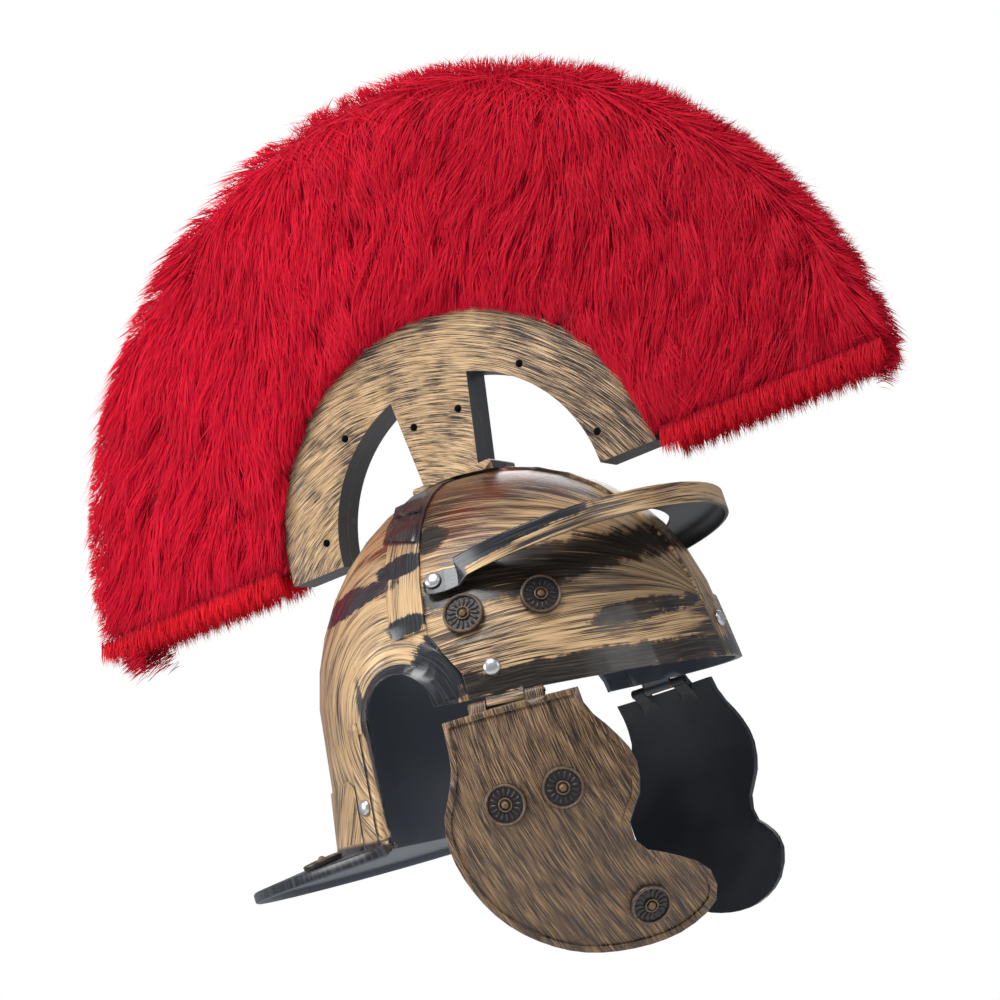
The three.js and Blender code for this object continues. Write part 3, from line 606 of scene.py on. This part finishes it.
def seat_of(node):
    """Foot, outward axis and radius of a turned CAD piece."""
    points = np.array([v.co for v in NODES[node].data.vertices])
    centre = points.mean(axis=0)
    _, _, directions = np.linalg.svd(points - centre, full_matrices=False)
    axis = Vector(directions[2])
    side = math.copysign(1, centre[0]) if abs(centre[0]) > 0.01 else 0
    away = Vector((side, -1 + abs(side), 0.5 * abs(side)))
    if axis.dot(away) < 0:
        axis = -axis
    heights = (points - centre) @ np.array(axis)
    foot = Vector(centre) + axis * float(heights.min())
    apart = points - centre - np.outer(heights, np.array(axis))
    return foot, axis, float(np.linalg.norm(apart, axis=1).max())


def stand_for(model, node, name, finish):
    """Stands a copy of a turned model, one metre in radius, on the seat of a CAD node."""
    foot, axis, radius = seat_of(node)
    piece = bpy.data.objects.new(name, model.data.copy())
    bpy.context.scene.collection.objects.link(piece)
    turn = Vector((0, 0, 1)).rotation_difference(axis).to_matrix().to_4x4()
    piece.data.transform(Matrix.Translation(foot) @ turn @ Matrix.Scale(radius, 4))
    dress(piece, node, finish)


def join(pieces, name):
    bpy.ops.object.select_all(action="DESELECT")
    for piece in pieces:
        piece.select_set(True)
    bpy.context.view_layer.objects.active = pieces[0]
    bpy.ops.object.join()
    pieces[0].name = name
    return pieces[0]


def carry_height(piece, low, high):
    """Writes each corner's height into the piece's UV map, as V from 0 to 1."""
    mesh = piece.data
    while mesh.uv_layers:
        mesh.uv_layers.remove(mesh.uv_layers[0])
    layer = mesh.uv_layers.new(name="height")
    for loop in mesh.loops:
        z = mesh.vertices[loop.vertex_index].co.z
        layer.data[loop.index].uv = (0.5, min(max((z - low) / (high - low), 0), 1))


class HELMET_OT_stage(bpy.types.Operator):
    """Sets the camera, the lights and the pale floor"""
    bl_idname = "helmet.stage"
    bl_label = "Stage"

    def execute(self, context):
        azimuth, elevation, roll = (math.radians(a) for a in CAMERA_TURN)
        back = Vector((math.sin(azimuth) * math.cos(elevation), -math.cos(azimuth) * math.cos(elevation),
                       math.sin(elevation)))
        right = (-back).cross(Vector((0, 0, 1))).normalized()
        up = right.cross(-back)
        tilted_right = right * math.cos(roll) + up * math.sin(roll)
        tilted_up = up * math.cos(roll) - right * math.sin(roll)
        lens = bpy.data.cameras.new("camera")
        lens.lens, lens.sensor_width = CAMERA_LENS, 36
        camera = bpy.data.objects.new("camera", lens)
        context.scene.collection.objects.link(camera)
        place = Matrix.Translation(CAMERA_AIM + back * CAMERA_AWAY)
        camera.matrix_world = place @ Matrix((tilted_right, tilted_up, back)).transposed().to_4x4()
        context.scene.camera = camera
        context.scene.view_settings.view_transform = "Standard"

        bpy.ops.object.select_all(action="DESELECT")
        bpy.ops.mesh.primitive_circle_add(vertices=64, radius=1.2, fill_type="NGON", location=(0, 0, -0.5))
        floor = context.active_object
        floor.name = "floor"
        pale = Finish("pale_floor").surface({"Base Color": (0.85, 0.85, 0.85), "Roughness": 0.9})
        floor.data.materials.append(pale)

        world = bpy.data.worlds.new("studio")
        context.scene.world = world
        world.use_nodes = True
        tree = world.node_tree
        tree.nodes.clear()
        rays = tree.nodes.new("ShaderNodeLightPath")
        air = tree.nodes.new("ShaderNodeBackground")
        seen = tree.nodes.new("ShaderNodeBackground")
        both = tree.nodes.new("ShaderNodeMixShader")
        out = tree.nodes.new("ShaderNodeOutputWorld")
        air.inputs[0].default_value = (0.72, 0.76, 0.82, 1)
        air.inputs[1].default_value = 0.42
        seen.inputs[0].default_value = (1, 1, 1, 1)
        tree.links.new(rays.outputs["Is Camera Ray"], both.inputs[0])
        tree.links.new(air.outputs[0], both.inputs[1])
        tree.links.new(seen.outputs[0], both.inputs[2])
        tree.links.new(both.outputs[0], out.inputs[0])

        for name, spot, size, watts in (
            ("key", (-1.1, -0.2, 1.5), 0.9, 32),
            ("front", (-0.5, -1.9, 0.3), 1.0, 6),
            ("back", (-1.1, 1.4, 0.5), 0.9, 18),
            ("far", (1.5, 0.2, 0.9), 1.0, 8),
        ):
            light = bpy.data.lights.new(name, "AREA")
            light.energy, light.size = watts, size
            lamp = bpy.data.objects.new(name, light)
            lamp.location = spot
            lamp.rotation_euler = (Vector((0, 0, -0.02)) - Vector(spot)).to_track_quat("-Z", "Y").to_euler()
            context.scene.collection.objects.link(lamp)
        return {"FINISHED"}


class HELMET_OT_shells(bpy.types.Operator):
    """Makes the front and the back shell of the bowl"""
    bl_idname = "helmet.shells"
    bl_label = "Shells"

    def execute(self, context):
        inside = bare_plastic("inside_plastic", finishes().bowl_inside, 0.34, 0.5)
        ground = (finishes().front_plastic, finishes().front_worn)
        front = brushed("front_bronze", front_across, front_along, front_bare, 0.5, crown_tint, base=ground)
        back = brushed("back_bronze", back_across, back_along, back_bare, 0.58, back_tint)
        dress(smoothed_copy("front_shell"), "front_shell", front, inside, faces_head)
        dress(smoothed_copy("back_shell"), "back_shell", back, inside, faces_head)
        return {"FINISHED"}


class HELMET_OT_brow_guard(bpy.types.Operator):
    """Makes the peak that is riveted to the front shell"""
    bl_idname = "helmet.brow_guard"
    bl_label = "Brow guard"

    def execute(self, context):
        painted = brushed("brow_guard_bronze", guard_across, guard_along, guard_bare, 0.52)
        under = bare_plastic("brow_guard_under", finishes().plastic, 0.4)

        def is_bare(centre, normal):
            if normal.z < -0.6:
                return True
            level = Vector((centre.x, centre.y + 0.03, 0)).normalized()
            return abs(normal.z) < 0.6 and normal.dot(level) < -0.1

        dress(smoothed_copy("brow_guard"), "brow_guard", painted, under, is_bare)
        return {"FINISHED"}


class HELMET_OT_cheek_guards(bpy.types.Operator):
    """Makes the two hinged cheek guards"""
    bl_idname = "helmet.cheek_guards"
    bl_label = "Cheek guards"

    def execute(self, context):
        colours = finishes()
        ground = (colours.umber, colours.worn_umber)
        golds = (colours.bronze, colours.pale_bronze)
        painted = brushed("cheek_bronze", cheek_across, cheek_along, None, 0.34, fine=0.5, base=ground,
                          golds=golds, shares=(0.6, 0.25, 0.15), rub_edges=0.4)
        inner = bare_plastic("cheek_inside", colours.inside, 0.5)
        for side, sign in (("right", -1), ("left", 1)):
            piece = smoothed_copy(f"cheek_guard_{side}")

            def is_inner(centre, normal, sign=sign):
                return normal.x * sign < -0.1

            dress(piece, f"cheek_guard_{side}", painted, inner, is_inner)
        return {"FINISHED"}


class HELMET_OT_hinge_pins(bpy.types.Operator):
    """Makes the pins that the cheek guards swing on"""
    bl_idname = "helmet.hinge_pins"
    bl_label = "Hinge pins"

    def execute(self, context):
        dark = bare_plastic("pin_plastic", finishes().plastic, 0.35)
        for side in ("right", "left"):
            dress(smoothed_copy(f"hinge_pin_{side}"), f"hinge_pin_{side}", dark)
        return {"FINISHED"}


class HELMET_OT_crest_holder(bpy.types.Operator):
    """Makes the two halves of the half-round crest holder"""
    bl_idname = "helmet.crest_holder"
    bl_label = "Crest holder"

    def execute(self, context):
        painted = brushed("holder_bronze", holder_across, holder_along, holder_bare, 0.58,
                          fine=0.6, shares=(0.66, 0.3, 0.04))
        inner = bare_plastic("holder_inside", finishes().worn, 0.42)
        for side in ("right", "left"):
            dress(smoothed_copy(f"crest_holder_{side}"), f"crest_holder_{side}", painted, inner,
                  lambda centre, normal: abs(normal.x) < 0.5)
        return {"FINISHED"}


class HELMET_OT_rosettes(bpy.types.Operator):
    """Makes the twelve rosettes, each a ring round sixteen petals and a stud"""
    bl_idname = "helmet.rosettes"
    bl_label = "Rosettes"

    def execute(self, context):
        model = self.rosette()
        finish = rosette_finish()
        for node in NODES:
            if node.startswith("rosette_"):
                stand_for(model, node, f"{node}_flower", finish)
        bpy.data.objects.remove(model)
        return {"FINISHED"}

    def rosette(self):
        """One rosette of radius 1 round Z, its foot at the origin."""
        bpy.ops.object.select_all(action="DESELECT")
        bpy.ops.mesh.primitive_cylinder_add(vertices=48, radius=0.98, depth=0.12, location=(0, 0, 0.06))
        dish = bpy.context.active_object
        pieces = [dish]
        for major, minor, height in ((0.9, 0.09, 0.15), (0.29, 0.045, 0.2)):
            bpy.ops.mesh.primitive_torus_add(major_radius=major, minor_radius=minor, major_segments=48,
                                             minor_segments=8, location=(0, 0, height))
            pieces.append(bpy.context.active_object)
        bpy.ops.mesh.primitive_uv_sphere_add(segments=20, ring_count=10, radius=0.19, location=(0, 0, 0.2))
        pieces.append(bpy.context.active_object)
        petals = 16
        for i in range(petals):
            turn = 2 * math.pi * i / petals
            bpy.ops.mesh.primitive_uv_sphere_add(segments=10, ring_count=6, radius=1)
            petal = bpy.context.active_object
            for vertex in petal.data.vertices:
                swell = 1 + 0.45 * vertex.co.x
                vertex.co = Vector((0.57 + 0.23 * vertex.co.x, 0.075 * swell * vertex.co.y,
                                    0.12 + 0.085 * vertex.co.z))
            petal.data.transform(Matrix.Rotation(turn, 4, "Z"))
            pieces.append(petal)
        model = join(pieces, "rosette_model")
        only(model)
        bpy.ops.object.transform_apply(location=True, rotation=True, scale=True)
        bpy.ops.object.shade_smooth_by_angle(angle=math.radians(40))
        carry_height(model, 0.11, 0.24)
        return model


class HELMET_OT_rivets(bpy.types.Operator):
    """Makes the seven silver rivet heads"""
    bl_idname = "helmet.rivets"
    bl_label = "Rivets"

    def execute(self, context):
        bpy.ops.object.select_all(action="DESELECT")
        bpy.ops.mesh.primitive_uv_sphere_add(segments=32, ring_count=16, radius=1)
        model = bpy.context.active_object
        for vertex in model.data.vertices:
            z = vertex.co.z
            vertex.co.z = 0.5 * z ** 0.85 if z > 0 else 0.04 * z
        only(model)
        bpy.ops.object.shade_smooth_by_angle(angle=math.radians(50))
        finish = silver_finish()
        for node in NODES:
            if node.startswith("rivet_"):
                stand_for(model, node, f"{node}_head", finish)
        bpy.data.objects.remove(model)
        return {"FINISHED"}


# ---------------------------------------------------------------- fur


COMBED = np.array([0.0, 0.33, -0.944])
CORE_SHARE = 0.62  # of the fan's width
CORE_SINK = 0.006
PILE_ROOT = 0.0108  # half the width that the pile on the sides grows from
TUFT_HALF = 0.017  # half the width that the rim's tufts grow from
HEM_Z = -0.0135
HEM_STEP = 0.006
FRINGE_STRANDS = 15000
TUFTS, STRANDS_A_TUFT = 1900, 20


def unit(vectors):
    return vectors / np.maximum(np.linalg.norm(vectors, axis=-1, keepdims=True), 1e-9)


def rim_radius(turn):
    """Radius of the hair round the fan: fuller at the top and closer at the back."""
    return FUR_RADIUS - 0.007 * np.cos(turn / 2) ** 2 + 0.005 * np.sin(turn)


def hem_level(y):
    """Height of the hem, which hangs lower in front."""
    return HEM_Z + np.where(y > CREST_CENTRE.y, HEM_STEP, 0.0)


def on_fan(radius, turn, x):
    """Points of the fan at a radius and a turn round the crest's centre, and at x."""
    y = CREST_CENTRE.y + radius * np.cos(turn)
    z = CREST_CENTRE.z + radius * np.sin(turn)
    return np.stack([x, y, z], axis=-1)


def strands(name, roots, first, last, lengths, widths, tones, facing):
    """A mesh of tapered strands, each bent from its first direction to its last."""
    count = len(roots)
    knee = roots + first * (lengths * 0.42)[:, None]
    tip = knee + last * (lengths * 0.62)[:, None]
    side = unit(np.cross(last, facing))
    stations = []
    for t, taper in ((0.0, 0.8), (0.4, 1.0), (0.75, 0.62)):
        middle = roots * (1 - t) ** 2 + knee * 2 * t * (1 - t) + tip * t ** 2
        half = side * (widths * taper / 2)[:, None]
        stations += [middle - half, middle + half]
    points = np.stack([*stations, tip], axis=1)
    start = (np.arange(count) * 7)[:, None]
    quads = np.concatenate([start + [0, 1, 3, 2], start + [2, 3, 5, 4]])
    ends = start + [4, 5, 6]
    mesh = bpy.data.meshes.new(name)
    mesh.from_pydata(points.reshape(-1, 3).tolist(), [], quads.tolist() + ends.tolist())
    way = np.tile([0.0, 0.0, 0.4, 0.4, 0.75, 0.75, 1.0], count)
    tone = np.repeat(tones, 7)
    corners = np.empty(len(mesh.loops), np.int32)
    mesh.loops.foreach_get("vertex_index", corners)
    layer = mesh.uv_layers.new(name="strand")
    layer.data.foreach_set("uv", np.stack([tone[corners], way[corners]], axis=1).ravel().astype(np.float32))
    piece = bpy.data.objects.new(name, mesh)
    bpy.context.scene.collection.objects.link(piece)
    return piece


def swirl(points):
    """A slow sideways lean of the combed pile, from place to place."""
    y, z = points[:, 1], points[:, 2]
    return (0.22 * np.sin(31 * y + 17 * z + 1.3) + 0.16 * np.sin(67 * y - 43 * z + 0.4)
            + 0.12 * np.sin(140 * y + 90 * z + 2.1))


def side_locks(chance, sign):
    """Locks of combed fur on one side of the fan. Returns what strands() takes."""
    size = sizes()
    locks, each = size.clumps_a_side, size.strands_a_clump
    inner, outer = HOLDER_RADIUS + 0.001, FUR_RADIUS - 0.004
    radius = np.sqrt(chance.uniform(inner ** 2, outer ** 2, locks))
    turn = chance.uniform(-0.06, math.pi + 0.06, locks)
    lock_tone = chance.uniform(0, 1, locks)
    lean = chance.normal(0, 0.16, locks)
    lift = chance.uniform(0.5, 1.1, locks)
    long = chance.uniform(0.75, 1.25, locks)
    pick = np.repeat(np.arange(locks), each)
    count = len(pick)
    spread = chance.normal(0, 0.0026, (count, 2))
    r = np.clip(radius[pick] + spread[:, 0], inner, outer)
    a = turn[pick] + spread[:, 1] / r
    roots = on_fan(r, a, np.full(count, sign * PILE_ROOT))
    radial = np.stack([np.zeros(count), np.cos(a), np.sin(a)], axis=-1)
    angle = lean[pick] + swirl(roots) + chance.normal(0, 0.1, count)
    combed = np.stack([np.zeros(count), COMBED[1] * np.cos(angle) - COMBED[2] * np.sin(angle),
                       COMBED[1] * np.sin(angle) + COMBED[2] * np.cos(angle)], axis=-1)
    out = np.clip((r - (FUR_RADIUS - 0.026)) / 0.03, 0, 1)[:, None] ** 1.5
    flow = unit(combed * (1 - out) + radial * (out * 1.1))
    outward = np.array([sign, 0, 0])
    first = unit(flow + outward * (lift[pick] + chance.normal(0, 0.12, count))[:, None])
    last = unit(flow - outward * chance.uniform(-0.1, 0.12, count)[:, None])
    lengths = size.pile_length * long[pick] * chance.uniform(0.8, 1.15, count)
    inward = -np.sum(flow * radial, axis=1)
    room_in = (r - HOLDER_RADIUS + 0.003) / np.maximum(inward, 0.05)
    room_down = (roots[:, 2] - hem_level(roots[:, 1]) + 0.002) / np.maximum(-flow[:, 2], 0.05)
    room_out = (rim_radius(turn[pick]) + 0.001 - r) / np.maximum(-inward, 0.05)
    room = np.minimum(np.minimum(room_in, room_out), np.where(room_down > 0, room_down, 0.01))
    lengths = np.minimum(lengths, np.maximum(room, 0.004) * chance.uniform(0.8, 1.1, count))
    keep = roots[:, 2] > hem_level(roots[:, 1])
    gather = 0.35
    middle = on_fan(radius, turn, np.full(locks, sign * PILE_ROOT))[pick]
    first = unit(first + (middle - roots) * (gather / size.pile_length))
    last = unit(last + (middle - roots) * (gather * 2 / size.pile_length))
    facing = unit(outward + chance.normal(0, 0.35, (count, 3)))
    widths = size.strand_width * chance.uniform(0.6, 1.25, count)
    tones = np.clip(lock_tone[pick] * 0.6 + chance.uniform(0, 0.4, count), 0, 1)
    return [part[keep] for part in (roots, first, last, lengths, widths, tones, facing)]


def rim_tufts(chance):
    """Tufts that stand out of the fan's round rim."""
    size = sizes()
    locks, each = TUFTS, STRANDS_A_TUFT
    turn = chance.uniform(-0.03, math.pi + 0.03, locks)
    x = chance.uniform(-0.0155, 0.0155, locks)
    lean = chance.normal(0, 0.25, locks)
    long = chance.uniform(0.7, 1.25, locks)
    pick = np.repeat(np.arange(locks), each)
    count = len(pick)
    a = turn[pick] + chance.normal(0, 0.0105, count)
    across = np.clip(x[pick] + chance.normal(0, 0.0022, count), -TUFT_HALF, TUFT_HALF)
    sink = 0.011 + 0.012 * (across / TUFT_HALF) ** 2
    roots = on_fan(rim_radius(a) - sink, a, across * 0.8)
    radial = np.stack([np.zeros(count), np.cos(a), np.sin(a)], axis=-1)
    tangent = np.stack([np.zeros(count), -np.sin(a), np.cos(a)], axis=-1)
    side = np.stack([across / TUFT_HALF, np.zeros(count), np.zeros(count)], axis=-1)
    leaning = tangent * lean[pick][:, None]
    first = unit(radial + side * 0.35 + leaning * 0.4 + chance.normal(0, 0.1, (count, 3)))
    droop = COMBED * 0.42 + np.array([0, 0.3, 0])
    last = unit(radial + droop + leaning + chance.normal(0, 0.12, (count, 3)))
    lengths = size.tuft_length * long[pick] * chance.uniform(0.75, 1.1, count)
    widths = size.strand_width * chance.uniform(0.7, 1.3, count)
    tones = chance.uniform(0.3, 1, count)
    facing = unit(chance.normal(0, 1, (count, 3)) + side + [-0.3, 0, 0])
    return [roots, first, last, lengths, widths, tones, facing]


def hem_fringe(chance):
    """Short hair that hangs from the hem along the foot of both ends of the fan."""
    size = sizes()
    count = FRINGE_STRANDS
    end = chance.choice([-1, 1], count)
    reach = chance.uniform(HOLDER_RADIUS + 0.005, FUR_RADIUS - 0.004, count)
    outer = chance.uniform(0, 1, count) < 0.6
    outer_x = chance.choice([-1, 1], count) * chance.uniform(0.012, 0.0165, count)
    x = np.where(outer, outer_x, chance.uniform(-0.014, 0.014, count))
    roots = np.stack([x, CREST_CENTRE.y + end * reach, np.zeros(count)], axis=-1)
    roots[:, 2] = hem_level(roots[:, 1]) - chance.uniform(0, 0.003, count)
    outward = np.stack([np.sign(x), np.zeros(count), np.zeros(count)], axis=-1)
    side = outward * 0.25
    down = np.array([0, 0.12, -1])
    first = unit(down + side + chance.normal(0, 0.12, (count, 3)))
    last = unit(down + side * 0.3 + chance.normal(0, 0.2, (count, 3)))
    lengths = (0.0105 + 0.002 * np.sin(reach * 900 + end)) * chance.uniform(0.65, 1.2, count)
    widths = size.strand_width * chance.uniform(0.5, 1.0, count)
    facing = unit(outward + chance.normal(0, 0.4, (count, 3)))
    return [roots, first, last, lengths, widths, chance.uniform(0, 1, count), facing]


class HELMET_OT_fur(bpy.types.Operator):
    """Makes the fan of red fur: a core, combed locks on its sides, tufts on its rim and a fringe below"""
    bl_idname = "helmet.fur"
    bl_label = "Fur"

    def execute(self, context):
        colours = finishes()
        pile = fur_finish("crimson_pile", colours.fur, colours.fur_shadow, colours.fur_tip)
        hem = fur_finish("hem_pile", colours.fringe, colours.fur_shadow, colours.fur_tip)
        self.core()
        chance = np.random.default_rng(7)
        for side, sign in (("right", -1), ("left", 1)):
            locks = side_locks(chance, sign)
            half = len(locks[0]) // 2
            for part, chosen in (("a", slice(0, half)), ("b", slice(half, None))):
                piece = strands(f"fur_{side}_{part}", *(values[chosen] for values in locks))
                dress(piece, "fur_crest", pile)
        tufts = fur_finish("tuft_pile", colours.fur, colours.fur_shadow, colours.tuft_tip)
        dress(strands("fur_rim", *rim_tufts(chance)), "fur_crest", tufts)
        dress(strands("fur_hem", *hem_fringe(chance)), "fur_crest", hem)
        return {"FINISHED"}

    def core(self):
        core = smoothed_copy("fur_crest")
        core.name = "fur_core"
        for vertex in core.data.vertices:
            place = vertex.co - CREST_CENTRE
            place.x *= CORE_SHARE
            radial = Vector((0, place.y, place.z))
            if radial.length > FUR_RADIUS * 0.8:
                rim = float(rim_radius(math.atan2(radial.z, radial.y)))
                place -= radial.normalized() * (CORE_SINK + FUR_RADIUS - rim)
            vertex.co = place + CREST_CENTRE
            vertex.co.z = max(vertex.co.z, float(hem_level(vertex.co.y)) + 0.001)
        finish = Finish("fur_backing")
        colours = finishes()
        # Painted shade: the core under the pile is streaked between the shade red of the roots and the fur's
        # crimson.
        matted = finish.strokes(finish.y, finish.z, 0.0012, 0.02)
        backing = finish.surface(
            {"Base Color": finish.blend(matted, colours.fur_shadow, colours.fur), "Roughness": 0.8},
            height=matted, depth=0.002)
        dress(core, "fur_crest", backing)


# ---------------------------------------------------------------- panel and registration

STEPS = (
    HELMET_OT_stage, HELMET_OT_shells, HELMET_OT_brow_guard, HELMET_OT_cheek_guards, HELMET_OT_hinge_pins,
    HELMET_OT_crest_holder, HELMET_OT_rosettes, HELMET_OT_rivets, HELMET_OT_fur,
)


class HELMET_PT_panel(bpy.types.Panel):
    bl_idname = "HELMET_PT_panel"
    bl_label = "Legionary Helmet"
    bl_space_type = "VIEW_3D"
    bl_region_type = "UI"
    bl_category = "Helmet"

    def draw(self, context):
        for group in (context.scene.helmet_sizes, context.scene.helmet_finishes):
            for name in group.__annotations__:
                self.layout.prop(group, name)
        for step in STEPS:
            self.layout.operator(step.bl_idname)


def register():
    for made in (HelmetFinishes, HelmetSizes, *STEPS, HELMET_PT_panel):
        bpy.utils.register_class(made)
    bpy.types.Scene.helmet_finishes = bpy.props.PointerProperty(type=HelmetFinishes)
    bpy.types.Scene.helmet_sizes = bpy.props.PointerProperty(type=HelmetSizes)


def unregister():
    del bpy.types.Scene.helmet_sizes
    del bpy.types.Scene.helmet_finishes
    for made in reversed((HelmetFinishes, HelmetSizes, *STEPS, HELMET_PT_panel)):
        bpy.utils.unregister_class(made)


def main():
    register()
    for step in STEPS:
        group, name = step.bl_idname.split(".")
        getattr(getattr(bpy.ops, group), name)()


if __name__ == "__main__":
    main()
